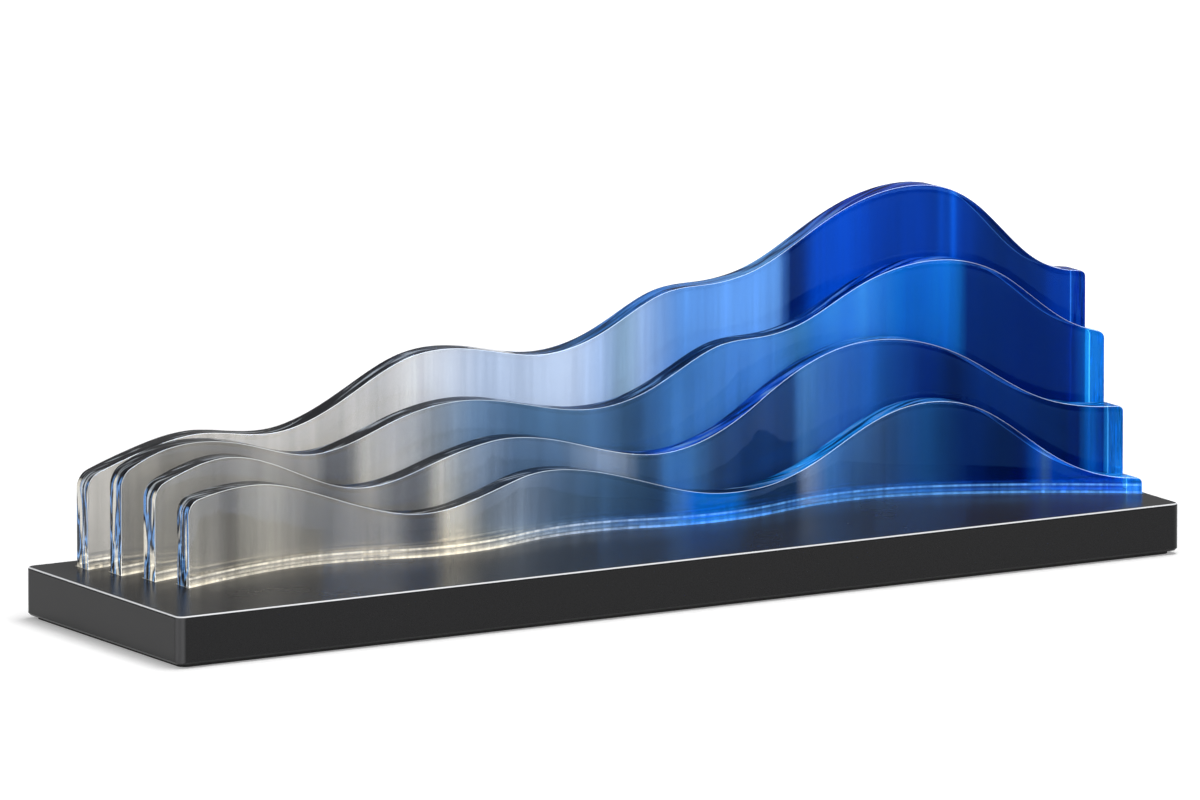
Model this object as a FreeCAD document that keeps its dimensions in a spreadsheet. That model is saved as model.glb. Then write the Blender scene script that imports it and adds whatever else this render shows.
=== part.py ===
import FreeCAD, Part
import Sketcher
import math
import os

# Glass wave sculpture: four clear slumped glass waves, one behind the other, stand in
# grooves milled in a black metal plate, each bedded in a thin seam of clear adhesive.
# A thin non-slip pad lies under the plate.
# Frame: millimetres, X along the plate, Y from the front wave to the back wave, Z up.
# The origin is the middle of the pad's underside.

Vector = FreeCAD.Vector
doc = FreeCAD.newDocument("glass_wave_sculpture")

# Driving dimensions

sheet = doc.addObject("Spreadsheet::Sheet", "Sizes")

DIMENSIONS = [
    ("plate_length", 400.0),
    ("plate_width", 106.0),
    ("plate_thickness", 16.8),
    ("plate_corner_radius", 3.0),
    ("plate_top_round", 1.0),
    ("plate_foot_chamfer", 0.8),
    ("pad_thickness", 1.2),
    ("pad_inset", 2.5),
    ("glass_thickness", 8.0),
    ("glass_arris", 0.5),
    ("left_corner_radius", 4.5),
    ("right_corner_radius", 1.8),
    ("groove_depth", 3.0),
    ("seam_width", 0.4),
    ("seam_floor", 0.4),
    ("wave_gap", 5.0),
    ("wave_stagger", 4.5),
    ("left_margin", 15.0),
    ("right_margin", 2.0),
    ("back_margin", 3.0),
    ("swing", 48.0),
    ("front_wave_height", 33.0),
    ("second_wave_height", 53.7),
    ("third_wave_height", 79.0),
    ("back_wave_height", 103.8),
    ("cut_overrun", 5.0),
]

for row, (name, value) in enumerate(DIMENSIONS, start=1):
    sheet.set(f"A{row}", name)
    sheet.set(f"B{row}", str(value))
    sheet.setAlias(f"B{row}", name)
doc.recompute()

# Two places nearer than this count as one
NEAR = 0.001

# A chord that strays less than this from its heading counts as straight
FLAT = 0.0001

PAD_TOP = "Sizes.pad_thickness"
PLATE_TOP = "Sizes.pad_thickness + Sizes.plate_thickness"
GROOVE_FLOOR = f"{PLATE_TOP} - Sizes.groove_depth"
GLASS_FOOT = f"{GROOVE_FLOOR} + Sizes.seam_floor"

ALONG_Y = Vector(0, 1, 0)
UPWARDS = Vector(0, 0, 1)


def size(name):
    """The sheet's value of one driving dimension."""
    return float(getattr(sheet, name))


# Plan of the waves: where each bend of the ribbon lies along the wave, how far the back
# wave swings forward of its rearmost line there, and how much of the full gap the waves keep.
# Tangent arcs join the bends, so every wave, groove and seam keeps one constant width.

PLAN_SHARES = [
    (-0.020, 0.175, 1.50),
    (0.000, 0.135, 1.45),
    (0.070, 0.030, 1.20),
    (0.170, 0.000, 0.96),
    (0.293, 0.130, 1.08),
    (0.445, 0.000, 0.76),
    (0.570, 0.115, 0.88),
    (0.750, 0.000, 0.56),
    (0.872, 0.200, 0.76),
    (1.000, 0.750, 0.90),
    (1.020, 0.865, 0.90),
]

# Outline of each wave's top: share of the wave's length from its left end, share of its
# height over the plate

FRONT_TOP_SHARES = [
    (0.000, 0.885),
    (0.065, 0.945),
    (0.105, 0.912),
    (0.180, 0.660),
    (0.258, 0.460),
    (0.330, 0.595),
    (0.400, 0.710),
    (0.505, 0.510),
    (0.560, 0.345),
    (0.625, 0.300),
    (0.705, 0.460),
    (0.790, 0.910),
    (0.833, 1.000),
    (0.875, 0.875),
    (0.935, 0.365),
    (0.968, 0.200),
    (1.000, 0.170),
]
SECOND_TOP_SHARES = [
    (0.000, 0.600),
    (0.040, 0.677),
    (0.090, 0.715),
    (0.150, 0.607),
    (0.222, 0.432),
    (0.300, 0.552),
    (0.373, 0.635),
    (0.450, 0.568),
    (0.537, 0.436),
    (0.630, 0.594),
    (0.730, 0.915),
    (0.807, 1.000),
    (0.875, 0.855),
    (0.930, 0.610),
    (0.972, 0.538),
    (1.000, 0.542),
]
THIRD_TOP_SHARES = [
    (0.000, 0.440),
    (0.045, 0.512),
    (0.100, 0.527),
    (0.150, 0.483),
    (0.210, 0.423),
    (0.285, 0.540),
    (0.357, 0.593),
    (0.440, 0.530),
    (0.498, 0.486),
    (0.560, 0.552),
    (0.635, 0.711),
    (0.690, 0.721),
    (0.740, 0.768),
    (0.795, 0.905),
    (0.860, 1.000),
    (0.925, 0.912),
    (0.970, 0.728),
    (1.000, 0.672),
]
BACK_TOP_SHARES = [
    (0.000, 0.305),
    (0.060, 0.364),
    (0.130, 0.400),
    (0.205, 0.383),
    (0.265, 0.476),
    (0.325, 0.585),
    (0.373, 0.603),
    (0.430, 0.571),
    (0.482, 0.545),
    (0.540, 0.610),
    (0.597, 0.715),
    (0.655, 0.728),
    (0.715, 0.768),
    (0.785, 0.908),
    (0.860, 1.000),
    (0.917, 0.922),
    (0.960, 0.748),
    (1.000, 0.703),
]

WAVES = [
    ("front", FRONT_TOP_SHARES),
    ("second", SECOND_TOP_SHARES),
    ("third", THIRD_TOP_SHARES),
    ("back", BACK_TOP_SHARES),
]


def wave_ends(behind):
    """The X of the left and right end of the wave that stands so many places behind the front one."""
    steps_to_back = len(WAVES) - 1 - behind
    left = -size("plate_length") / 2 + size("left_margin") + size("wave_stagger") * steps_to_back
    right = size("plate_length") / 2 - size("right_margin")
    return left, right


def spline_over_x(points):
    """A smooth curve through points in order of X, whose parameter is X itself."""
    curve = Part.BSplineCurve()
    curve.interpolate(Points=points, Parameters=[point.x for point in points])
    return curve


def front_face_line(behind):
    """The smooth plan line through the bends of a wave's front face."""
    left, right = wave_ends(behind)
    steps_to_back = len(WAVES) - 1 - behind
    rear_limit = size("plate_width") / 2 - size("back_margin") - size("glass_thickness")
    points = []
    for along_share, swing_share, gap_share in PLAN_SHARES:
        x = left + (right - left) * along_share
        pitch = size("glass_thickness") + size("wave_gap") * gap_share
        y = rear_limit - size("swing") * swing_share - pitch * steps_to_back
        points.append(Vector(x, y, 0))
    return spline_over_x(points), points


def arc_between(place, heading, other, ends):
    """The arc that leaves a place along a heading and passes another place: centre, radius and ends.

    The radius is positive where the centre lies towards the back.
    """
    towards_back = Vector(-heading.y, heading.x, 0)
    chord = other - place
    sideways = chord.dot(towards_back)
    if abs(sideways) < FLAT:
        sideways = FLAT
    radius = chord.dot(chord) / (2 * sideways)
    return place + towards_back * radius, radius, ends


def front_face_arcs(behind):
    """A wave's front plan line as tangent arcs, two from each bend to the next."""
    line, bends = front_face_line(behind)
    arcs = []
    for start, end in zip(bends, bends[1:]):
        start_heading = line.getD1(start.x)[1].normalize()
        end_heading = line.getD1(end.x)[1].normalize()
        chord = end - start
        both = start_heading + end_heading
        turn = 2 * (1 - start_heading.dot(end_heading))
        along = chord.dot(both)
        reach = chord.dot(chord) / (along + math.sqrt(along**2 + turn * chord.dot(chord)))
        joint = (start + end + (start_heading - end_heading) * reach) / 2
        arcs.append(arc_between(start, start_heading, joint, (start, joint)))
        arcs.append(arc_between(end, end_heading, joint, (joint, end)))
    return arcs


def point_on_arc(centre, radius, x):
    """The place at X on the side of an arc's circle that its line follows."""
    across = math.sqrt(radius**2 - (x - centre.x) ** 2)
    return Vector(x, centre.y - math.copysign(across, radius), 0)


def shifted_edges(arcs, distance, from_x, to_x):
    """The edges of a plan line moved square to itself towards the back, between two places along X."""
    edges = []
    for centre, front_radius, ends in arcs:
        radius = front_radius - distance
        end_places = [centre + (end - centre) * (radius / front_radius) for end in ends]
        start_x = max(end_places[0].x, from_x)
        end_x = min(end_places[1].x, to_x)
        if end_x - start_x > NEAR:
            places = [point_on_arc(centre, radius, x) for x in (start_x, (start_x + end_x) / 2, end_x)]
            edges.append(Part.Arc(*places).toShape())
    return edges


def ribbon(behind, spare):
    """The plan face of a wave, wider than the glass by a spare distance all round."""
    left, right = wave_ends(behind)
    arcs = front_face_arcs(behind)
    front = shifted_edges(arcs, -spare, left - spare, right + spare)
    back = shifted_edges(arcs, size("glass_thickness") + spare, left - spare, right + spare)
    left_edge = Part.makeLine(front[0].firstVertex().Point, back[0].firstVertex().Point)
    right_edge = Part.makeLine(front[-1].lastVertex().Point, back[-1].lastVertex().Point)
    return Part.Face(Part.Wire(Part.__sortEdges__(front + [right_edge] + back + [left_edge])))


def drawn_out(label, face, direction, length_expression):
    """A face drawn in the part's own frame, made solid along a direction by a bound length."""
    drawing = doc.addObject("Part::Feature", f"{label}_drawing")
    drawing.Shape = face
    block = doc.addObject("Part::Extrusion", f"{label}_block")
    block.Base = drawing
    block.DirMode = "Custom"
    block.Dir = direction
    block.Solid = True
    block.setExpression("LengthFwd", length_expression)
    return block


def edge_names(shape, wanted):
    """The names of a shape's edges whose boxes pass a test."""
    return [f"Edge{number}" for number, edge in enumerate(shape.Edges, start=1) if wanted(edge.BoundBox)]


def dressed(body, kind, name, wanted, size_property, size_expression):
    """A fillet or chamfer on a body's wanted edges, its size bound to the sheet."""
    base = body.Tip
    feature = body.newObject(f"PartDesign::{kind}", name)
    feature.Base = (base, edge_names(base.Shape, wanted))
    feature.setExpression(size_property, size_expression)
    doc.recompute()
    return feature


def rounded_slab(name, length, width, corner, thickness):
    """A body padded upwards from a centred rectangle with round corners, all four sizes bound."""
    body = doc.addObject("PartDesign::Body", name)
    body.Label = name
    sketch = body.newObject("Sketcher::SketchObject", f"{name}_outline")
    floor_plane = [plane for plane in body.Origin.OriginFeatures if plane.Role == "XY_Plane"][0]
    sketch.AttachmentSupport = (floor_plane, [""])
    sketch.MapMode = "FlatFace"
    half_length = size("plate_length") / 2
    half_width = size("plate_width") / 2
    corners = [
        Vector(-half_length, -half_width, 0),
        Vector(half_length, -half_width, 0),
        Vector(half_length, half_width, 0),
        Vector(-half_length, half_width, 0),
    ]
    for start, end in zip(corners, corners[1:] + corners[:1]):
        sketch.addGeometry(Part.LineSegment(start, end), False)
    for side in range(4):
        sketch.addConstraint(Sketcher.Constraint("Coincident", side, 2, (side + 1) % 4, 1))
    for side in (0, 2):
        sketch.addConstraint(Sketcher.Constraint("Horizontal", side))
    for side in (1, 3):
        sketch.addConstraint(Sketcher.Constraint("Vertical", side))
    sketch.addConstraint(Sketcher.Constraint("Symmetric", 0, 1, 2, 1, -1, 1))
    length_constraint = sketch.addConstraint(Sketcher.Constraint("DistanceX", 0, 1, 0, 2, 2 * half_length))
    width_constraint = sketch.addConstraint(Sketcher.Constraint("DistanceY", 1, 1, 1, 2, 2 * half_width))
    sketch.setExpression(f"Constraints[{length_constraint}]", length)
    sketch.setExpression(f"Constraints[{width_constraint}]", width)
    pad = body.newObject("PartDesign::Pad", f"{name}_pad")
    pad.Profile = sketch
    pad.setExpression("Length", thickness)
    doc.recompute()

    def upright(box):
        return box.XLength < NEAR and box.YLength < NEAR

    dressed(body, "Fillet", f"{name}_corners", upright, "Radius", corner)
    return body


# The black plate

plate_blank = rounded_slab(
    "plate_blank",
    "Sizes.plate_length",
    "Sizes.plate_width",
    "Sizes.plate_corner_radius",
    "Sizes.plate_thickness",
)
plate_height = size("plate_thickness")
dressed(
    plate_blank,
    "Fillet",
    "plate_top_edge",
    lambda box: box.ZMin > plate_height - NEAR,
    "Radius",
    "Sizes.plate_top_round",
)
dressed(
    plate_blank,
    "Chamfer",
    "plate_foot_edge",
    lambda box: box.ZMax < NEAR,
    "Size",
    "Sizes.plate_foot_chamfer",
)
plate_blank.setExpression("Placement.Base.z", PAD_TOP)
doc.recompute()

# The non-slip pad

base_pad = rounded_slab(
    "base_pad",
    "Sizes.plate_length - 2 * Sizes.pad_inset",
    "Sizes.plate_width - 2 * Sizes.pad_inset",
    "Sizes.plate_corner_radius",
    "Sizes.pad_thickness",
)

# The glass waves, their grooves and their adhesive seams


def top_outline(behind, height, shares):
    """A wave seen from the front, drawn in front of the plate, with the glass's foot at Z = 0.

    It reaches past the wave's ends and foot, so the ribbon alone makes those faces.
    """
    left, right = wave_ends(behind)
    stand = size("groove_depth") - size("seam_floor")
    spare = size("cut_overrun")
    points = []
    for along_share, height_share in shares:
        points.append(Vector(left + (right - left) * along_share, 0, stand + height * height_share))
    line = spline_over_x(points)
    before = points[0] - line.getD1(points[0].x)[1] * spare
    after = points[-1] + line.getD1(points[-1].x)[1] * spare
    top_edge = spline_over_x([before] + points + [after]).toShape()
    sides = Part.makePolygon([after, Vector(after.x, 0, -spare), Vector(before.x, 0, -spare), before])
    face = Part.Face(Part.Wire([top_edge] + sides.Edges))
    face.translate(Vector(0, -size("plate_width") / 2, 0))
    return face


def add_wave(behind, label, shares):
    """A glass wave: its plan ribbon and its outline in one solid, with corners and arrises dressed."""
    height_name = f"{label}_wave_height"
    glass = drawn_out(
        f"{label}_glass",
        ribbon(behind, 0),
        UPWARDS,
        f"Sizes.{height_name} + Sizes.groove_depth + Sizes.cut_overrun",
    )
    outline = drawn_out(
        f"{label}_outline", top_outline(behind, size(height_name), shares), ALONG_Y, "Sizes.plate_width"
    )
    rough = doc.addObject("Part::MultiCommon", f"{label}_rough")
    rough.Shapes = [glass, outline]
    doc.recompute()
    body = doc.addObject("PartDesign::Body", f"{label}_wave")
    body.Label = f"{label}_wave"
    body.BaseFeature = rough
    doc.recompute()

    def across_top(end_x):
        def wanted(box):
            at_end = box.XLength < NEAR and abs(box.XMin - end_x) < NEAR
            return at_end and box.YLength > NEAR and box.ZMin > NEAR

        return wanted

    def sharp_above_foot(box):
        upright = box.XLength < NEAR and box.YLength < NEAR
        at_end = box.XMin < left + NEAR or box.XMax > right - NEAR
        return box.ZMax > NEAR and (at_end or not upright)

    left, right = wave_ends(behind)
    dressed(
        body, "Fillet", f"{label}_left_corner", across_top(left), "Radius", "Sizes.left_corner_radius"
    )
    dressed(
        body, "Fillet", f"{label}_right_corner", across_top(right), "Radius", "Sizes.right_corner_radius"
    )
    dressed(body, "Chamfer", f"{label}_arris", sharp_above_foot, "Size", "Sizes.glass_arris")
    body.setExpression("Placement.Base.z", GLASS_FOOT)
    return body


def add_groove(behind, label):
    """The space that is milled out of the plate for a wave."""
    groove = drawn_out(
        f"{label}_groove",
        ribbon(behind, size("seam_width")),
        UPWARDS,
        "Sizes.groove_depth + Sizes.cut_overrun",
    )
    groove.setExpression("Placement.Base.z", GROOVE_FLOOR)
    return groove


def add_seam(behind, label):
    """The clear adhesive that fills a groove up to the plate's top, round and under the glass."""
    filling = drawn_out(
        f"{label}_filling", ribbon(behind, size("seam_width")), UPWARDS, "Sizes.groove_depth"
    )
    filling.setExpression("Placement.Base.z", GROOVE_FLOOR)
    core = drawn_out(f"{label}_core", ribbon(behind, 0), UPWARDS, "Sizes.groove_depth + Sizes.cut_overrun")
    core.setExpression("Placement.Base.z", GLASS_FOOT)
    seam = doc.addObject("Part::Cut", f"{label}_seam")
    seam.Label = f"{label}_seam"
    seam.Base = filling
    seam.Tool = core
    return seam


waves = []
grooves = []
seams = []
for behind, (label, shares) in enumerate(WAVES):
    waves.append(add_wave(behind, label, shares))
    grooves.append(add_groove(behind, label))
    seams.append(add_seam(behind, label))

all_grooves = doc.addObject("Part::MultiFuse", "all_grooves")
all_grooves.Shapes = grooves
base_plate = doc.addObject("Part::Cut", "base_plate")
base_plate.Label = "base_plate"
base_plate.Base = plate_blank
base_plate.Tool = all_grooves
doc.recompute()

# Check and write

for thing in doc.Objects:
    if "Invalid" in thing.State or "Error" in thing.State:
        raise RuntimeError(f"{thing.Label} did not build: {thing.State}")

os.makedirs("parts", exist_ok=True)
for part in [base_pad, base_plate] + seams + waves:
    shape = part.Shape
    if shape.isNull() or not shape.isValid() or len(shape.Solids) != 1:
        raise RuntimeError(f"{part.Label} is not one valid solid")
    shape.exportStep(f"parts/{part.Label}.step")
    print(part.Label, "volume", round(shape.Volume, 1))
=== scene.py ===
import math

import bpy
import numpy as np
from mathutils import Matrix, Vector


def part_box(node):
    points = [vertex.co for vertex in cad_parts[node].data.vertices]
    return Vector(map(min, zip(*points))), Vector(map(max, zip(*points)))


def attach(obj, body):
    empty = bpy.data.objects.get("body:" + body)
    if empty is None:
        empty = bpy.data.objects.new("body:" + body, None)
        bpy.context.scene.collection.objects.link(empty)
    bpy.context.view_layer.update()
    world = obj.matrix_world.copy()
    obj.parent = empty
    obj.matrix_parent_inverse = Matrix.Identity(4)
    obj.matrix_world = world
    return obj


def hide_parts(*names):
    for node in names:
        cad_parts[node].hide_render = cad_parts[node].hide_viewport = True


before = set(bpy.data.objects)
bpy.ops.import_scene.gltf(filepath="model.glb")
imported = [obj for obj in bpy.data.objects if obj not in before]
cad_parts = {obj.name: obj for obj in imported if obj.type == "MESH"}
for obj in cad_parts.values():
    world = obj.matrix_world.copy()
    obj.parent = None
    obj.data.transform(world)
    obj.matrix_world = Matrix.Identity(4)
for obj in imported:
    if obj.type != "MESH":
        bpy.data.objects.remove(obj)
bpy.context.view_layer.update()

# Glass wave sculpture: four glass waves in a row on a black metal plate. Their colour runs
# from clear smoke at the left end to deep cobalt at the right one. Metres, Z up.

MM = 0.001

plate_low, plate_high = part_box("base_plate")
PLATE_TOP = plate_high.z
PLATE_WIDTH = plate_high.y - plate_low.y

# Sizes of the glass

GLASS_THICKNESS = 8.0 * MM
WAVE_GAP = 5.0 * MM
SWING = 48.0 * MM
BACK_MARGIN = 3.0 * MM
ARRIS = 0.6 * MM
ARRIS_SEGMENTS = 3
LEFT_CORNER_RADIUS = 4.5 * MM
LEFT_CORNER_SEGMENTS = 8
RIGHT_CORNER_RADIUS = 1.8 * MM
RIGHT_CORNER_SEGMENTS = 5
CORNER_ROOM = 5.6 * MM
EDGE_ROOM = 1.4 * MM
COLUMN_PITCH = 1.2 * MM
OUTLINE_OVERRUN = 5.0 * MM
CREST_CLEARANCE = 0.06 * MM
END_TOLERANCE = MM / 100
CORNER_SEARCH = 1.0 * MM
SHARP_ANGLE = math.radians(40)
SMOOTH_ANGLE = math.radians(45)

# A chord that strays less than this from its heading counts as straight
FLAT = 0.0001 * MM

# Plan of the waves: place along the wave, swing forward, share of the full gap kept

PLAN_SHARES = [
    (-0.020, 0.175, 1.50),
    (0.000, 0.135, 1.45),
    (0.070, 0.030, 1.20),
    (0.170, 0.000, 0.96),
    (0.293, 0.130, 1.08),
    (0.445, 0.000, 0.76),
    (0.570, 0.115, 0.88),
    (0.750, 0.000, 0.56),
    (0.872, 0.200, 0.76),
    (1.000, 0.750, 0.90),
    (1.020, 0.865, 0.90),
]

# Outline of each wave's top: place along the wave, share of its height over the plate

FRONT_TOP_SHARES = [
    (0.000, 0.885),
    (0.065, 0.945),
    (0.105, 0.912),
    (0.180, 0.660),
    (0.258, 0.460),
    (0.330, 0.595),
    (0.400, 0.710),
    (0.505, 0.510),
    (0.560, 0.345),
    (0.625, 0.300),
    (0.705, 0.460),
    (0.790, 0.910),
    (0.833, 1.000),
    (0.875, 0.875),
    (0.935, 0.365),
    (0.968, 0.200),
    (1.000, 0.170),
]
SECOND_TOP_SHARES = [
    (0.000, 0.600),
    (0.040, 0.677),
    (0.090, 0.715),
    (0.150, 0.607),
    (0.222, 0.432),
    (0.300, 0.552),
    (0.373, 0.635),
    (0.450, 0.568),
    (0.537, 0.436),
    (0.630, 0.594),
    (0.730, 0.915),
    (0.807, 1.000),
    (0.875, 0.855),
    (0.930, 0.610),
    (0.972, 0.538),
    (1.000, 0.542),
]
THIRD_TOP_SHARES = [
    (0.000, 0.440),
    (0.045, 0.512),
    (0.100, 0.527),
    (0.150, 0.483),
    (0.210, 0.423),
    (0.285, 0.540),
    (0.357, 0.593),
    (0.440, 0.530),
    (0.498, 0.486),
    (0.560, 0.552),
    (0.635, 0.711),
    (0.690, 0.721),
    (0.740, 0.768),
    (0.795, 0.905),
    (0.860, 1.000),
    (0.925, 0.912),
    (0.970, 0.728),
    (1.000, 0.672),
]
BACK_TOP_SHARES = [
    (0.000, 0.305),
    (0.060, 0.364),
    (0.130, 0.400),
    (0.205, 0.383),
    (0.265, 0.476),
    (0.325, 0.585),
    (0.373, 0.603),
    (0.430, 0.571),
    (0.482, 0.545),
    (0.540, 0.610),
    (0.597, 0.715),
    (0.655, 0.728),
    (0.715, 0.768),
    (0.785, 0.908),
    (0.860, 1.000),
    (0.917, 0.922),
    (0.960, 0.748),
    (1.000, 0.703),
]

# Each wave, from front to back: name, height over the plate, outline

WAVES = [
    ("front", 33.0 * MM, FRONT_TOP_SHARES),
    ("second", 53.7 * MM, SECOND_TOP_SHARES),
    ("third", 79.0 * MM, THIRD_TOP_SHARES),
    ("back", 103.8 * MM, BACK_TOP_SHARES),
]

# Tints of the glass, from the warm grey of the left end to the deep blues of the right one, then the colours
# of its painted shade and light

LINEN = (0.69, 0.68, 0.64)
SMOKE = (0.54, 0.53, 0.51)
STONE = (0.38, 0.37, 0.35)
PEARL = (0.70, 0.71, 0.73)
IVORY = (0.98, 0.94, 0.85)
GRAPHITE = (0.26, 0.26, 0.26)
ASH = (0.42, 0.46, 0.50)
CLOUD = (0.58, 0.68, 0.80)
HAZE = (0.46, 0.56, 0.74)
MIST = (0.31, 0.45, 0.71)
DENIM = (0.24, 0.37, 0.53)
SLATE = (0.12, 0.23, 0.36)
STEEL = (0.07, 0.15, 0.27)
SHADOW = (0.03, 0.10, 0.24)
LAKE = (0.15, 0.42, 0.76)
SKY = (0.13, 0.36, 0.88)
CERULEAN = (0.09, 0.50, 1.00)
AZURE = (0.01, 0.33, 0.98)
ELECTRIC = (0.003, 0.16, 1.00)
TEAL = (0.03, 0.20, 0.54)
ROYAL = (0.001, 0.058, 0.52)
COBALT = (0.001, 0.030, 0.31)
INDIGO = (0.002, 0.040, 0.30)
NAVY = (0.001, 0.012, 0.12)
# Not tints of the glass: charcoal and ink are painted shade on the top edges and ends, spark the painted
# highlight on the arrises, cream and frost the painted light at the foot, flare the painted flares on the top
# edges
CHARCOAL = (0.005, 0.005, 0.0055)
INK = (0.004, 0.014, 0.045)
SPARK = (0.85, 0.92, 1.00)
CREAM = (0.95, 0.90, 0.78)
FROST = (0.16, 0.46, 0.95)
FLARE = (0.40, 0.62, 0.95)

# Where along each wave its faces take each tint

FACE_SHARES = {
    "front": [
        (0.000, LINEN), (0.040, SMOKE), (0.056, STONE), (0.075, LINEN), (0.180, SMOKE), (0.235, SMOKE),
        (0.250, GRAPHITE), (0.272, GRAPHITE), (0.285, IVORY), (0.305, IVORY), (0.330, ASH),
        (0.370, CLOUD), (0.420, DENIM), (0.470, SLATE), (0.525, STEEL), (0.545, LAKE), (0.560, AZURE),
        (0.600, AZURE), (0.622, SHADOW), (0.680, SHADOW), (0.695, CLOUD), (0.720, LAKE), (0.780, STEEL),
        (0.820, TEAL), (0.855, INDIGO), (0.905, NAVY), (0.917, ELECTRIC), (0.923, LAKE),
        (0.929, ELECTRIC), (0.975, ROYAL), (1.000, AZURE),
    ],
    "second": [
        (0.000, LINEN), (0.090, SMOKE), (0.150, LINEN), (0.200, STONE), (0.240, SMOKE),
        (0.260, GRAPHITE), (0.292, GRAPHITE), (0.308, IVORY), (0.355, CLOUD), (0.400, DENIM),
        (0.450, DENIM), (0.488, CLOUD), (0.512, CLOUD), (0.528, SLATE), (0.544, SLATE), (0.556, LAKE),
        (0.582, LAKE), (0.605, STEEL), (0.640, SHADOW), (0.700, SHADOW), (0.715, LAKE), (0.790, TEAL),
        (0.835, INDIGO), (0.850, INDIGO), (0.862, NAVY), (0.885, INDIGO), (0.945, INDIGO),
        (0.965, NAVY), (0.975, AZURE), (0.983, NAVY), (1.000, AZURE),
    ],
    "third": [
        (0.000, SMOKE), (0.120, STONE), (0.170, SMOKE), (0.210, SMOKE), (0.222, GRAPHITE),
        (0.245, GRAPHITE), (0.257, LINEN), (0.290, PEARL), (0.330, ASH), (0.380, DENIM), (0.440, SLATE),
        (0.500, SLATE), (0.550, STEEL), (0.590, LAKE), (0.700, LAKE), (0.750, CERULEAN),
        (0.800, CERULEAN), (0.830, AZURE), (0.882, AZURE), (0.890, INDIGO), (0.940, COBALT),
        (0.978, INDIGO), (0.988, AZURE), (1.000, AZURE),
    ],
    "back": [
        (0.000, SMOKE), (0.250, SMOKE), (0.330, PEARL), (0.420, HAZE), (0.510, HAZE), (0.546, MIST),
        (0.553, DENIM), (0.568, DENIM), (0.576, MIST), (0.620, SKY), (0.665, SKY), (0.732, SKY),
        (0.742, NAVY), (0.756, NAVY), (0.770, ROYAL), (0.800, ROYAL), (0.830, COBALT), (0.890, COBALT),
        (0.8945, ELECTRIC), (0.899, COBALT), (0.930, NAVY), (0.965, NAVY), (0.985, COBALT),
        (1.000, ROYAL),
    ],
}

# Where along each wave its top edge and its ends take each tint: the glass's own tint, darkened to charcoal
# and ink as painted shade

EDGE_TINT_AND_SHADE_SHARES = {
    "front": [
        (0.00, CHARCOAL), (0.35, CHARCOAL), (0.50, INK), (0.62, INK), (0.70, AZURE), (0.86, TEAL),
        (1.00, AZURE),
    ],
    "second": [
        (0.00, CHARCOAL), (0.35, CHARCOAL), (0.50, INK), (0.56, ROYAL), (0.68, ROYAL), (0.80, TEAL),
        (1.00, AZURE),
    ],
    "third": [
        (0.00, CHARCOAL), (0.35, CHARCOAL), (0.50, INK), (0.70, INK), (0.85, ROYAL), (1.00, AZURE),
    ],
    "back": [
        (0.00, CHARCOAL), (0.30, CHARCOAL), (0.45, INK), (0.60, TEAL), (0.72, LAKE), (0.80, ROYAL),
        (0.90, ROYAL), (1.00, ROYAL),
    ],
}

# The share of a wave where the light at its foot turns from cream to blue, and how softly

FOOT_TURN = 0.45
FOOT_TURN_SOFT = 0.1


def deselect_all():
    """Nothing stays selected, so an operator acts on its own piece alone."""
    if bpy.context.object and bpy.context.object.mode != "OBJECT":
        bpy.ops.object.mode_set(mode="OBJECT")
    bpy.ops.object.select_all(action="DESELECT")


def line_slopes(places, values):
    """The slopes of a smooth curve at its points; its ends follow the parabola of their three points."""
    steps = np.diff(places)
    rises = np.diff(values) / steps
    count = len(places)
    matrix = np.eye(count)
    sides = np.zeros(count)
    sides[0] = rises[0] - steps[0] * (rises[1] - rises[0]) / (steps[0] + steps[1])
    sides[-1] = rises[-1] + steps[-1] * (rises[-1] - rises[-2]) / (steps[-1] + steps[-2])
    for i in range(1, count - 1):
        matrix[i, i - 1 : i + 2] = steps[i], 2 * (steps[i - 1] + steps[i]), steps[i - 1]
        sides[i] = 3 * (steps[i] * rises[i - 1] + steps[i - 1] * rises[i])
    return np.linalg.solve(matrix, sides)


def smooth_line(places, values):
    """A smooth curve of a value over places along X."""
    slopes = line_slopes(places, values)

    def value_at(x):
        i = int(np.clip(np.searchsorted(places, x) - 1, 0, len(places) - 2))
        step = places[i + 1] - places[i]
        t = (x - places[i]) / step
        return (
            values[i] * (1 + 2 * t) * (1 - t) ** 2
            + values[i + 1] * t**2 * (3 - 2 * t)
            + step * t * (1 - t) * (slopes[i] * (1 - t) - slopes[i + 1] * t)
        )

    return value_at


def top_line(left, right, height, top_shares):
    """A wave's top outline; it is drawn on past both ends, so they lie inside the curve."""
    places = [left + (right - left) * along for along, _ in top_shares]
    heights = [PLATE_TOP - CREST_CLEARANCE + height * share for _, share in top_shares]
    slopes = line_slopes(places, heights)
    before = heights[0] - slopes[0] * OUTLINE_OVERRUN
    after = heights[-1] + slopes[-1] * OUTLINE_OVERRUN
    return smooth_line(
        [places[0] - OUTLINE_OVERRUN] + places + [places[-1] + OUTLINE_OVERRUN], [before] + heights + [after]
    )


def arc_between(place, heading, other, ends):
    """The arc that leaves a place along a heading and passes another place: centre, radius, X of its ends."""
    towards_back = Vector((-heading.y, heading.x))
    chord = other - place
    sideways = chord.dot(towards_back)
    if abs(sideways) < FLAT:
        sideways = FLAT
    radius = chord.dot(chord) / (2 * sideways)
    return place + towards_back * radius, radius, [end.x for end in ends]


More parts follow.
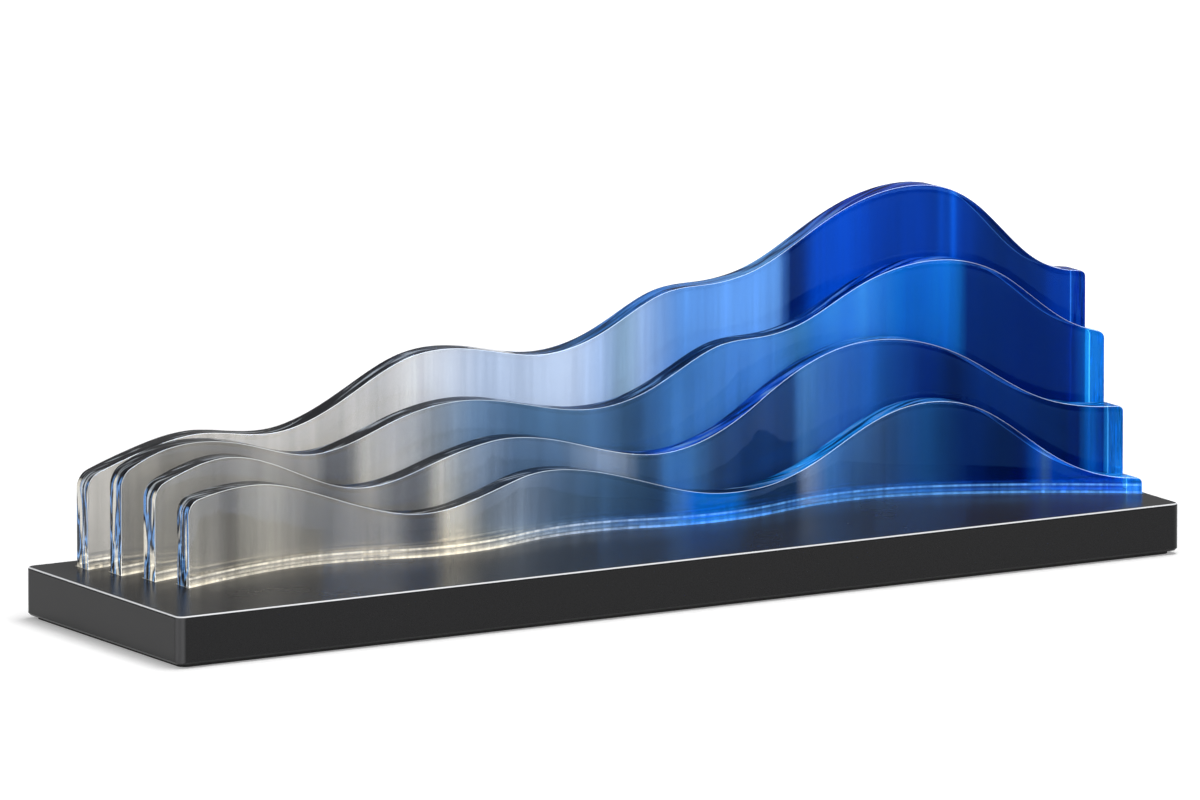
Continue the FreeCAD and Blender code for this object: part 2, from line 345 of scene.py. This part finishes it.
def front_face_arcs(left, right, behind):
    """A wave's front plan line as tangent arcs, two from each bend to the next."""
    steps_to_back = len(WAVES) - 1 - behind
    rear_limit = PLATE_WIDTH / 2 - BACK_MARGIN - GLASS_THICKNESS
    bends = []
    for along_share, swing_share, gap_share in PLAN_SHARES:
        pitch = GLASS_THICKNESS + WAVE_GAP * gap_share
        x = left + (right - left) * along_share
        bends.append(Vector((x, rear_limit - SWING * swing_share - pitch * steps_to_back)))
    slopes = line_slopes([bend.x for bend in bends], [bend.y for bend in bends])
    headings = [Vector((1, slope)).normalized() for slope in slopes]
    arcs = []
    for start, end, start_heading, end_heading in zip(bends, bends[1:], headings, headings[1:]):
        chord = end - start
        turn = 2 * (1 - start_heading.dot(end_heading))
        along = chord.dot(start_heading + end_heading)
        reach = chord.dot(chord) / (along + math.sqrt(along**2 + turn * chord.dot(chord)))
        joint = (start + end + (start_heading - end_heading) * reach) / 2
        arcs.append(arc_between(start, start_heading, joint, (start, joint)))
        arcs.append(arc_between(end, end_heading, joint, (joint, end)))
    return arcs


def plan_line(arcs, distance):
    """The plan line that lies a distance behind a wave's front face, as Y over X."""

    def depth_at(x):
        for centre, front_radius, ends in arcs:
            radius = front_radius - distance
            last_x = centre.x + (ends[1] - centre.x) * radius / front_radius
            if x <= last_x or ends is arcs[-1][2]:
                across = math.sqrt(max(radius**2 - (x - centre.x) ** 2, 0))
                return centre.y - math.copysign(across, radius)

    return depth_at


def column_places(left, right):
    """Where a wave's cross-sections stand, with room at both ends for the round corners."""
    first = left + CORNER_ROOM
    last = right - CORNER_ROOM
    return [left] + list(np.linspace(first, last, round((last - first) / COLUMN_PITCH))) + [right]


def add_ribbon(name, columns, rows, levels):
    """A ribbon of columns by rows, drawn up through its levels.

    rows are functions of X that give Y, from front to back; levels are functions of X that give Z, from the
    foot to the top.
    """
    deselect_all()
    bpy.ops.mesh.primitive_grid_add(x_subdivisions=len(columns) - 1, y_subdivisions=len(rows) - 1, size=2)
    piece = bpy.context.object
    piece.name = name
    bpy.ops.object.mode_set(mode="EDIT")
    bpy.ops.mesh.select_all(action="SELECT")
    for _ in levels[1:]:
        bpy.ops.mesh.extrude_region_move(TRANSFORM_OT_translate={"value": (0, 0, 1)})
    bpy.ops.object.mode_set(mode="OBJECT")
    for vertex in piece.data.vertices:
        column = round((vertex.co.x + 1) / 2 * (len(columns) - 1))
        row = round((vertex.co.y + 1) / 2 * (len(rows) - 1))
        level = round(vertex.co.z)
        x = columns[column]
        vertex.co = (x, rows[row](x), levels[level](x))
    piece.data.update()
    bpy.ops.object.mode_set(mode="EDIT")
    bpy.ops.mesh.select_all(action="SELECT")
    bpy.ops.mesh.normals_make_consistent(inside=False)
    bpy.ops.object.mode_set(mode="OBJECT")
    return piece


def round_corner(piece, x, lowest, radius, segments):
    """Rounds the top edge that crosses a wave's end at x."""
    bpy.ops.object.mode_set(mode="EDIT")
    bpy.ops.mesh.select_all(action="DESELECT")
    bpy.ops.mesh.select_mode(type="EDGE")
    bpy.ops.object.mode_set(mode="OBJECT")
    corners = {v.index for v in piece.data.vertices if abs(v.co.x - x) < END_TOLERANCE and v.co.z > lowest}
    for edge in piece.data.edges:
        edge.select = all(index in corners for index in edge.vertices)
    bpy.ops.object.mode_set(mode="EDIT")
    bpy.ops.mesh.bevel(offset=radius, offset_type="OFFSET", segments=segments, clamp_overlap=True)
    bpy.ops.object.mode_set(mode="OBJECT")


def polish_edges(piece, width, segments):
    """Small round arrises on every sharp edge, and smooth faces between them."""
    bevel = piece.modifiers.new("arrises", "BEVEL")
    bevel.width = width
    bevel.segments = segments
    bevel.limit_method = "ANGLE"
    bevel.angle_limit = SHARP_ANGLE
    bpy.ops.object.modifier_apply(modifier=bevel.name)
    bpy.ops.object.shade_smooth_by_angle(angle=SMOOTH_ANGLE)


def add_wave(behind, label, height, top_shares):
    """One glass wave: a ribbon on the plan lines, cut to its outline, its corners and arrises rounded."""
    low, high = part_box(f"{label}_wave")
    left = low.x
    right = high.x
    arcs = front_face_arcs(left, right, behind)
    outline = top_line(left, right, height, top_shares)
    insets = (0, EDGE_ROOM, GLASS_THICKNESS - EDGE_ROOM, GLASS_THICKNESS)
    rows = [plan_line(arcs, inset) for inset in insets]
    levels = [
        lambda x: low.z,
        lambda x: low.z + EDGE_ROOM,
        lambda x: outline(x) - min(CORNER_ROOM, (outline(x) - low.z) / 2),
        outline,
    ]
    wave = add_ribbon(f"{label}_wave_glass", column_places(left, right), rows, levels)
    round_corner(wave, left, outline(left) - CORNER_SEARCH, LEFT_CORNER_RADIUS, LEFT_CORNER_SEGMENTS)
    round_corner(wave, right, outline(right) - CORNER_SEARCH, RIGHT_CORNER_RADIUS, RIGHT_CORNER_SEGMENTS)
    polish_edges(wave, ARRIS, ARRIS_SEGMENTS)
    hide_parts(f"{label}_wave")
    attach(wave, "root")
    return wave


# Materials. A grain reads: stretch, scale per metre, detail. A range reads: the source's two ends and, where
# they aren't 0 and 1, the result's two ends. A band reads: start, end, softness.

# Grains of the glass

BROAD_GRAIN = ((1, 1, 0.05), 110, 3)
FINE_GRAIN = ((1, 1, 0.03), 480, 2)
POOLED_GRAIN = ((1, 1, 0.4), 28, 2)
EDGE_GRAIN = ((0.09, 1, 0.09), 640, 2)
END_REFLECTION_GRAIN = ((0.1, 1, 0.16), 330, 1)

# How the grains shade the glass, and where they lay its painted flares, the painted light at its foot and the
# painted reflections on its ends

BROAD_RANGE = (0.36, 0.64, 0.86, 1.12)
FINE_RANGE = (0.32, 0.68, 0.94, 1.06)
POOLED_RANGE = (0.35, 0.65, 0.84, 1.14)
EDGE_RANGE = (0.38, 0.60, 0.15, 2.2)
FOOT_LIGHT_RANGE = (0.36, 0.64, 0.35, 1.15)
FLARE_RANGE = (0.58, 0.66)
END_REFLECTION_BLUE_BAND = (0.43, 0.49, 0.02)
END_REFLECTION_PALE_RANGE = (0.54, 0.60)
FINE_RELIEF = 0.15

# Which way the surface faces: edges and arrises by its turn from Y, ends by its turn to X

ON_EDGE_RANGE = (0.42, 0.54, 1.0, 0.0)
ON_ARRIS_BAND = (0.50, 0.66, 0.03)
ON_END_RANGE = (0.80, 0.90)

# Heights over the plate's top of the lines at the glass's foot: a painted bright line and a painted glow,
# with a band of painted shade above them

FOOT_GLOW_HEIGHTS = (0.5 * MM, 0.9 * MM)
FOOT_LINE_HEIGHTS = (2.6 * MM, 3.3 * MM)
FOOT_END_HEIGHTS = (3.3 * MM, 3.7 * MM)
FOOT_SHADE_HEIGHTS = (3.6 * MM, 4.6 * MM)
FOOT_LINE_SOFT = 0.15 * MM
FOOT_SHADE_SOFT = 0.2 * MM

# How strong each of them is, and the other painted light in the glass: flares, highlights on the arrises, its
# faint glow and the light on its ends

FOOT_GLOW_REST = 0.15
FOOT_SHADE = 0.5
FOOT_LIGHT_PAINT_SHARE = 0.85
FOOT_LIGHT = 0.46
FLARE_MIX = 0.5
FLARE_SHARE = 0.9
ARRIS_SHARE = 0.75
ARRIS_LIGHT = 1.1
SPARK_MIX = 0.6
INNER_LIGHT = 0.07
END_LIGHT = 0.28

GLASS_TRANSMISSION = 0.75
GLASS_ROUGHNESS = 0.03
GLASS_IOR = 1.5
GLASS_SPECULAR = 0.04
GLASS_SPECULAR_TINT = (0.08, 0.30, 0.80)
GLASS_BUMP = (0.22, 0.4 * MM)

# The plate's satin black coat, with a painted sheen on its top and painted highlights on its rounded edges

SPECKLE_GRAIN = ((1, 1, 1), 2600, 2)
CLOUD_GRAIN = ((1, 1, 1), 30, 3)
COAT_DARK = (0.004, 0.004, 0.0045)
COAT_PALE = (0.009, 0.009, 0.010)
# The top's, the corner's and the rim's colours are painted sheen and painted highlights, not colours of the
# coat
PAINTED_TOP_SHEEN = (0.022, 0.022, 0.023)
PAINTED_CORNER_HIGHLIGHT = (0.085, 0.085, 0.088)
PAINTED_RIM_HIGHLIGHT = (0.75, 0.76, 0.78)
RIM_HEIGHTS = (-0.50 * MM, -0.12 * MM)
RIM_SOFT = 0.08 * MM
CORNER_BAND = (1.6 * MM, 2.4 * MM, 0.5 * MM)
FACING_UP_RANGE = (0.85, 0.95)
COAT_ROUGHNESS_RANGE = (0.3, 0.7, 0.20, 0.28)
COAT_BUMP = (0.08, 0.05 * MM)
COAT_SPECULAR = 0.22

# The pad's rubber and the adhesive

PEBBLE_GRAIN = ((1, 1, 1), 900, 3)
RUBBER_DARK = (0.006, 0.006, 0.006)
RUBBER_PALE = (0.018, 0.018, 0.018)
RUBBER_ROUGHNESS_RANGE = (0.3, 0.7, 0.7, 0.9)
RUBBER_BUMP = (0.4, 0.2 * MM)
BUBBLE_GRAIN = ((1, 1, 1), 700, 3)
# The adhesive is clear; its warm and blue colours are painted light from the glass foot
ADHESIVE_WARM_PAINTED_LIGHT = (0.62, 0.58, 0.50)
ADHESIVE_BLUE_PAINTED_LIGHT = (0.10, 0.26, 0.55)
ADHESIVE_BEFORE_TURN = 40 * MM
ADHESIVE_AFTER_TURN = 60 * MM
ADHESIVE_TONE_RANGE = (0.3, 0.7, 0.7, 1.1)
ADHESIVE_ROUGHNESS_RANGE = (0.3, 0.7, 0.2, 0.4)
ADHESIVE_BUMP = (0.3, 0.1 * MM)


def set_ramp(ramp, stops):
    """Gives a colour ramp its stops."""
    elements = ramp.color_ramp.elements
    while len(elements) < len(stops):
        elements.new(0.5)
    for element, (place, colour) in zip(elements, sorted(stops)):
        element.position = place
        element.color = (*colour, 1)


class NodeBench:
    """Adds nodes to a tree and joins them."""

    def __init__(self, tree):
        self.nodes = tree.nodes
        self.links = tree.links

    def feed(self, socket, value):
        """Joins an output to an input, or sets the input to a constant."""
        if isinstance(value, bpy.types.NodeSocket):
            self.links.new(value, socket)
        else:
            socket.default_value = value

    def maths(self, operation, first, second=0.0):
        """One operation on a value or two."""
        node = self.nodes.new("ShaderNodeMath")
        node.operation = operation
        self.feed(node.inputs[0], first)
        self.feed(node.inputs[1], second)
        return node.outputs[0]

    def add_squares(self, first, second):
        """The squares of two values, added."""
        return self.maths("ADD", self.maths("MULTIPLY", first, first), self.maths("MULTIPLY", second, second))

    def fade(self, value, start, end, low=0.0, high=1.0):
        """A value that goes from low to high while its source goes from start to end."""
        node = self.nodes.new("ShaderNodeMapRange")
        self.feed(node.inputs["Value"], value)
        node.inputs["From Min"].default_value = start
        node.inputs["From Max"].default_value = end
        node.inputs["To Min"].default_value = low
        node.inputs["To Max"].default_value = high
        return node.outputs["Result"]

    def band(self, value, start, end, soft):
        """One between start and end, zero outside."""
        rising = self.fade(value, start - soft, start + soft)
        falling = self.fade(value, end - soft, end + soft, 1.0, 0.0)
        return self.maths("MULTIPLY", rising, falling)

    def blend(self, first, second, share):
        """A first colour that gives way to a second by a share."""
        node = self.nodes.new("ShaderNodeMix")
        node.data_type = "RGBA"
        self.feed(node.inputs["Factor"], share)
        self.feed(node.inputs["A"], first)
        self.feed(node.inputs["B"], second)
        return node.outputs["Result"]

    def scale(self, colour, amount):
        """A colour, made lighter or darker."""
        node = self.nodes.new("ShaderNodeVectorMath")
        node.operation = "SCALE"
        self.feed(node.inputs[0], colour)
        self.feed(node.inputs["Scale"], amount)
        return node.outputs[0]

    def add(self, first, second):
        """Two colours of light, added."""
        node = self.nodes.new("ShaderNodeVectorMath")
        node.operation = "ADD"
        self.feed(node.inputs[0], first)
        self.feed(node.inputs[1], second)
        return node.outputs[0]

    def grain(self, vector, stretch, scale, detail):
        """Noise over a stretched place."""
        mapping = self.nodes.new("ShaderNodeMapping")
        mapping.inputs["Scale"].default_value = stretch
        self.links.new(vector, mapping.inputs["Vector"])
        noise = self.nodes.new("ShaderNodeTexNoise")
        noise.inputs["Scale"].default_value = scale
        noise.inputs["Detail"].default_value = detail
        self.links.new(mapping.outputs["Vector"], noise.inputs["Vector"])
        return noise.outputs[0]

    def apart(self, vector):
        """The X, Y and Z of a vector."""
        node = self.nodes.new("ShaderNodeSeparateXYZ")
        self.links.new(vector, node.inputs[0])
        return node.outputs


def opaque(colour):
    """A colour with its alpha."""
    return (*colour, 1.0)


def new_material(name):
    """A node material, its shader and a bench for its nodes."""
    material = bpy.data.materials.new(name)
    material.use_nodes = True
    return material, material.node_tree.nodes["Principled BSDF"], NodeBench(material.node_tree)


def over_plate(heights):
    """Heights over the plate's top, as heights over the part's foot."""
    return [PLATE_TOP + height for height in heights]


def along_wave(bench, label):
    """A value that runs from 0 at a wave's left end to 1 at its right end."""
    low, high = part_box(f"{label}_wave")
    place = bench.nodes.new("ShaderNodeTexCoord").outputs["Object"]
    return bench.fade(bench.apart(place)["X"], low.x, high.x)


def drawn_glass_group():
    """Streaks, painted shade on the top edges and ends, painted highlights on the arrises, painted
    reflections on the streaked ends, painted light at the foot and a faint painted glow in all the glass,
    shared by all the waves.
    """
    group = bpy.data.node_groups.new("drawn_glass", "ShaderNodeTree")
    for name in ("Face Tint", "Edge Tint", "Painted Foot Light"):
        group.interface.new_socket(name, in_out="INPUT", socket_type="NodeSocketColor")
    group.interface.new_socket("Base Color", in_out="OUTPUT", socket_type="NodeSocketColor")
    group.interface.new_socket("Emission Color", in_out="OUTPUT", socket_type="NodeSocketColor")
    group.interface.new_socket("Bump Height", in_out="OUTPUT", socket_type="NodeSocketFloat")
    bench = NodeBench(group)
    tints = group.nodes.new("NodeGroupInput").outputs
    place = group.nodes.new("ShaderNodeTexCoord").outputs
    height = bench.apart(place["Object"])["Z"]
    facing = bench.apart(place["Normal"])
    broadside = bench.maths("ABSOLUTE", facing["Y"])
    on_edge = bench.fade(broadside, *ON_EDGE_RANGE)
    on_arris = bench.band(broadside, *ON_ARRIS_BAND)
    on_end = bench.fade(bench.maths("ABSOLUTE", facing["X"]), *ON_END_RANGE)
    broad, fine, pooled, lengthwise, end_reflections = (
        bench.grain(place["Object"], *grain)
        for grain in (BROAD_GRAIN, FINE_GRAIN, POOLED_GRAIN, EDGE_GRAIN, END_REFLECTION_GRAIN)
    )

    tone = bench.maths("MULTIPLY", bench.fade(broad, *BROAD_RANGE), bench.fade(fine, *FINE_RANGE))
    tone = bench.maths("MULTIPLY", tone, bench.fade(pooled, *POOLED_RANGE))
    # Painted light at the foot: in a line and a glow just over the plate, the faces take the cream and blue
    # of the foot's painted light and glow with it. The band above is darkened as painted shade.
    at_foot = bench.maths(
        "MAXIMUM",
        bench.band(height, *over_plate(FOOT_LINE_HEIGHTS), FOOT_LINE_SOFT),
        bench.fade(height, *over_plate(FOOT_GLOW_HEIGHTS), 1.0, FOOT_GLOW_REST),
    )
    at_foot = bench.maths("MULTIPLY", at_foot, bench.fade(height, *over_plate(FOOT_END_HEIGHTS), 1.0, 0.0))
    over_foot = bench.band(height, *over_plate(FOOT_SHADE_HEIGHTS), FOOT_SHADE_SOFT)
    face_colour = bench.scale(tints["Face Tint"], tone)
    face_colour = bench.scale(face_colour, bench.fade(over_foot, 0, 1, 1.0, FOOT_SHADE))
    foot_light_share = bench.maths("MULTIPLY", at_foot, FOOT_LIGHT_PAINT_SHARE)
    face_colour = bench.blend(face_colour, tints["Painted Foot Light"], foot_light_share)

    # Top edges and ends: the tint with its painted shade, in streaks made lighter and darker as painted
    # light, with painted flares
    edge_colour = bench.scale(tints["Edge Tint"], bench.fade(lengthwise, *EDGE_RANGE))
    flare_colour = bench.blend(tints["Painted Foot Light"], opaque(FLARE), FLARE_MIX)
    flare_share = bench.maths("MULTIPLY", bench.fade(lengthwise, *FLARE_RANGE), FLARE_SHARE)
    edge_colour = bench.blend(edge_colour, flare_colour, flare_share)
    # Painted reflections on the ends: streaks of sky blue and of the foot's painted light
    end_colour = bench.blend(edge_colour, opaque(SKY), bench.band(end_reflections, *END_REFLECTION_BLUE_BAND))
    end_colour = bench.blend(end_colour, tints["Painted Foot Light"], bench.fade(end_reflections, *END_REFLECTION_PALE_RANGE))
    edge_colour = bench.blend(edge_colour, end_colour, on_end)

    colour = bench.blend(face_colour, edge_colour, on_edge)
    # Painted highlights on the arrises: their colour is whitened with spark, and they glow with it
    colour = bench.blend(colour, opaque(SPARK), bench.maths("MULTIPLY", on_arris, ARRIS_SHARE))
    foot_light = bench.maths("MULTIPLY", at_foot, bench.fade(on_edge, 0, 1, FOOT_LIGHT, 0.0))
    foot_light = bench.maths("MULTIPLY", foot_light, bench.fade(fine, *FOOT_LIGHT_RANGE))
    spark_colour = bench.blend(tints["Face Tint"], opaque(SPARK), SPARK_MIX)
    light = bench.scale(tints["Painted Foot Light"], foot_light)
    light = bench.add(light, bench.scale(spark_colour, bench.maths("MULTIPLY", on_arris, ARRIS_LIGHT)))
    # Painted glow: all the glass gives off a little of its own colour, and the ends glow with their painted
    # reflections
    light = bench.add(light, bench.scale(colour, INNER_LIGHT))
    light = bench.add(light, bench.scale(end_colour, bench.maths("MULTIPLY", on_end, END_LIGHT)))
    relief = bench.maths("ADD", broad, bench.maths("MULTIPLY", fine, FINE_RELIEF))
    out = group.nodes.new("NodeGroupOutput").inputs
    bench.feed(out["Base Color"], colour)
    bench.feed(out["Emission Color"], light)
    bench.feed(out["Bump Height"], relief)
    return group


def add_bump(bench, shader, height, strength, distance):
    """A fine relief from a height."""
    bump = bench.nodes.new("ShaderNodeBump")
    bump.inputs["Strength"].default_value = strength
    bump.inputs["Distance"].default_value = distance
    bench.feed(bump.inputs["Height"], height)
    bench.feed(shader.inputs["Normal"], bump.outputs["Normal"])


def glass_material(label, drawn_glass):
    """Tinted clear glass whose colours run along the wave."""
    material, shader, bench = new_material(f"{label}_wave_glass")
    along = along_wave(bench, label)
    glass = bench.nodes.new("ShaderNodeGroup")
    glass.node_tree = drawn_glass
    # The painted foot light, cream at the left and blue at the right
    foot_light_shares = [(FOOT_TURN - FOOT_TURN_SOFT, CREAM), (FOOT_TURN + FOOT_TURN_SOFT, FROST)]
    tables = {"Face Tint": FACE_SHARES[label], "Edge Tint": EDGE_TINT_AND_SHADE_SHARES[label], "Painted Foot Light": foot_light_shares}
    for name, stops in tables.items():
        ramp = bench.nodes.new("ShaderNodeValToRGB")
        set_ramp(ramp, stops)
        bench.feed(ramp.inputs["Fac"], along)
        bench.feed(glass.inputs[name], ramp.outputs["Color"])
    bench.feed(shader.inputs["Base Color"], glass.outputs["Base Color"])
    bench.feed(shader.inputs["Emission Color"], glass.outputs["Emission Color"])
    add_bump(bench, shader, glass.outputs["Bump Height"], *GLASS_BUMP)
    shader.inputs["Emission Strength"].default_value = 1.0
    shader.inputs["Transmission Weight"].default_value = GLASS_TRANSMISSION
    shader.inputs["Roughness"].default_value = GLASS_ROUGHNESS
    shader.inputs["IOR"].default_value = GLASS_IOR
    shader.inputs["Specular IOR Level"].default_value = GLASS_SPECULAR
    shader.inputs["Specular Tint"].default_value = opaque(GLASS_SPECULAR_TINT)
    return material


def black_metal():
    """The plate's satin black coat, with its fine grain, a painted sheen on its top and painted highlights on
    its rounded edges.
    """
    material, shader, bench = new_material("satin_black_coat")
    place = bench.nodes.new("ShaderNodeTexCoord").outputs
    parts = bench.apart(place["Object"])
    facing = bench.apart(place["Normal"])
    speckle = bench.grain(place["Object"], *SPECKLE_GRAIN)
    cloud = bench.grain(place["Object"], *CLOUD_GRAIN)
    # Painted highlight along the rounded rim of the top
    on_rim_highlight = bench.band(parts["Z"], *over_plate(RIM_HEIGHTS), RIM_SOFT)
    from_left = bench.maths("SUBTRACT", parts["X"], plate_low.x)
    from_front = bench.maths("SUBTRACT", parts["Y"], plate_low.y)
    # Painted highlight down the rounded front left corner
    on_corner_highlight = bench.band(bench.maths("ADD", from_left, from_front), *CORNER_BAND)
    colour = bench.blend(opaque(COAT_DARK), opaque(COAT_PALE), speckle)
    # Painted sheen: the faces that look up are lighter
    colour = bench.blend(colour, opaque(PAINTED_TOP_SHEEN), bench.fade(facing["Z"], *FACING_UP_RANGE))
    colour = bench.blend(colour, opaque(PAINTED_CORNER_HIGHLIGHT), on_corner_highlight)
    colour = bench.blend(colour, opaque(PAINTED_RIM_HIGHLIGHT), on_rim_highlight)
    bench.feed(shader.inputs["Base Color"], colour)
    bench.feed(shader.inputs["Roughness"], bench.fade(cloud, *COAT_ROUGHNESS_RANGE))
    add_bump(bench, shader, speckle, *COAT_BUMP)
    shader.inputs["Specular IOR Level"].default_value = COAT_SPECULAR
    return material


def pad_rubber():
    """The pad's matt black rubber with its pebbled skin."""
    material, shader, bench = new_material("black_rubber")
    place = bench.nodes.new("ShaderNodeTexCoord").outputs["Object"]
    pebbles = bench.grain(place, *PEBBLE_GRAIN)
    bench.feed(shader.inputs["Base Color"], bench.blend(opaque(RUBBER_DARK), opaque(RUBBER_PALE), pebbles))
    bench.feed(shader.inputs["Roughness"], bench.fade(pebbles, *RUBBER_ROUGHNESS_RANGE))
    add_bump(bench, shader, pebbles, *RUBBER_BUMP)
    return material


def adhesive():
    """The clear adhesive in the grooves, pale where the light of the glass foot falls in it."""
    material, shader, bench = new_material("clear_adhesive")
    place = bench.nodes.new("ShaderNodeTexCoord").outputs["Object"]
    bubbles = bench.grain(place, *BUBBLE_GRAIN)
    turn_x = plate_low.x + (plate_high.x - plate_low.x) * FOOT_TURN
    turned = bench.fade(bench.apart(place)["X"], turn_x - ADHESIVE_BEFORE_TURN, turn_x + ADHESIVE_AFTER_TURN)
    tint = bench.blend(opaque(ADHESIVE_WARM_PAINTED_LIGHT), opaque(ADHESIVE_BLUE_PAINTED_LIGHT), turned)
    bench.feed(shader.inputs["Base Color"], bench.scale(tint, bench.fade(bubbles, *ADHESIVE_TONE_RANGE)))
    bench.feed(shader.inputs["Roughness"], bench.fade(bubbles, *ADHESIVE_ROUGHNESS_RANGE))
    add_bump(bench, shader, bubbles, *ADHESIVE_BUMP)
    return material


def dress_node(name, material):
    """Gives a node its finish."""
    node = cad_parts[name]
    node.data.materials.clear()
    node.data.materials.append(material)


drawn_glass = drawn_glass_group()
for behind, (label, height, top_shares) in enumerate(WAVES):
    wave = add_wave(behind, label, height, top_shares)
    wave.data.materials.append(glass_material(label, drawn_glass))
dress_node("base_plate", black_metal())
dress_node("base_pad", pad_rubber())
seam_finish = adhesive()
for label, _, _ in WAVES:
    dress_node(f"{label}_seam", seam_finish)


# Floor, studio light and camera

FLOOR_RADIUS = 8
FLOOR_SIDES = 96
FLOOR_DROP = 0.1 * MM
FLOOR_COLOUR = (0.8, 0.8, 0.8)
FLOOR_ROUGHNESS = 0.9
FLOOR_GLOW_RANGE = (0.35, 1.1, 0.24, 0.9)
GLOW_THROUGH_GLASS = 0.08
WHITE = (1, 1, 1)
WORLD_STRENGTH = 0.22
LAMP_AIM = (0, 0, 0.05)

# Each lamp: name, place, width, height, watts

SOFTBOXES = [
    ("top_softbox", (0.3, -0.1, 1.6), 1.4, 0.9, 24),
    ("left_softbox", (-1.7, -0.5, 0.9), 0.8, 1.2, 10),
    ("front_softbox", (0.2, -2.5, 0.6), 1.5, 0.8, 17),
]


def add_floor():
    """A white floor that keeps the object's shadow and shows white behind it."""
    deselect_all()
    bpy.ops.mesh.primitive_circle_add(
        vertices=FLOOR_SIDES, radius=FLOOR_RADIUS, fill_type="NGON", location=(0, 0, -FLOOR_DROP)
    )
    floor = bpy.context.object
    floor.name = "studio_floor"
    material, shader, bench = new_material("white_floor")
    shader.inputs["Base Color"].default_value = opaque(FLOOR_COLOUR)
    shader.inputs["Roughness"].default_value = FLOOR_ROUGHNESS
    shader.inputs["Specular IOR Level"].default_value = 0.0
    path = bench.nodes.new("ShaderNodeLightPath").outputs
    seen = bench.maths("MAXIMUM", path["Is Camera Ray"], path["Is Glossy Ray"])
    seen_through = bench.maths("MULTIPLY", path["Is Transmission Ray"], GLOW_THROUGH_GLASS)
    parts = bench.apart(bench.nodes.new("ShaderNodeTexCoord").outputs["Object"])
    distance = bench.maths("SQRT", bench.add_squares(parts["X"], parts["Y"]))
    seen_glow = bench.maths("MULTIPLY", seen, bench.fade(distance, *FLOOR_GLOW_RANGE))
    shader.inputs["Emission Color"].default_value = opaque(WHITE)
    bench.feed(shader.inputs["Emission Strength"], bench.maths("MAXIMUM", seen_glow, seen_through))
    floor.data.materials.append(material)


def add_softbox(name, place, width, height, watts):
    """A soft rectangular lamp that looks at the object."""
    data = bpy.data.lights.new(name, "AREA")
    data.shape = "RECTANGLE"
    data.size = width
    data.size_y = height
    data.energy = watts
    lamp = bpy.data.objects.new(name, data)
    lamp.location = place
    lamp.rotation_euler = (Vector(LAMP_AIM) - Vector(place)).to_track_quat("-Z", "Y").to_euler()
    bpy.context.scene.collection.objects.link(lamp)


def add_world():
    """An even white light from all round."""
    world = bpy.data.worlds.new("studio")
    bpy.context.scene.world = world
    world.use_nodes = True
    background = world.node_tree.nodes["Background"]
    background.inputs["Color"].default_value = opaque(WHITE)
    background.inputs["Strength"].default_value = WORLD_STRENGTH


add_floor()
for name, place, width, height, watts in SOFTBOXES:
    add_softbox(name, place, width, height, watts)
add_world()

# Camera: turned and tilted as the photograph, far off with a long lens; the middle of the
# plate's top falls on a given pixel of the 1200 by 800 frame

CAMERA_TURN = math.radians(30.865)
CAMERA_TILT = math.radians(10.542)
CAMERA_DISTANCE = 6.8811
LENS_MM = 600
SENSOR_MM = 36
FRAME_PIXELS = (1200, 800)
CLIP_START = 0.1
CLIP_END = 100
PLATE_MIDDLE_PIXEL = (607.5, 534.0)


def add_camera():
    """The photograph's camera."""
    forward = Vector(
        (
            math.sin(CAMERA_TURN) * math.cos(CAMERA_TILT),
            math.cos(CAMERA_TURN) * math.cos(CAMERA_TILT),
            -math.sin(CAMERA_TILT),
        )
    )
    right = forward.cross(Vector((0, 0, 1))).normalized()
    up = right.cross(forward)
    metres_per_pixel = CAMERA_DISTANCE * SENSOR_MM / LENS_MM / FRAME_PIXELS[0]
    aside = (PLATE_MIDDLE_PIXEL[0] - FRAME_PIXELS[0] / 2) * metres_per_pixel
    below = (PLATE_MIDDLE_PIXEL[1] - FRAME_PIXELS[1] / 2) * metres_per_pixel
    data = bpy.data.cameras.new("photo_camera")
    data.lens = LENS_MM
    data.sensor_width = SENSOR_MM
    data.clip_start = CLIP_START
    data.clip_end = CLIP_END
    camera = bpy.data.objects.new("photo_camera", data)
    bpy.context.scene.collection.objects.link(camera)
    camera.location = Vector((0, 0, PLATE_TOP)) - forward * CAMERA_DISTANCE - right * aside + up * below
    camera.rotation_euler = Matrix((right, up, -forward)).transposed().to_euler()
    bpy.context.scene.camera = camera


add_camera()
bpy.context.scene.view_settings.view_transform = "Standard"
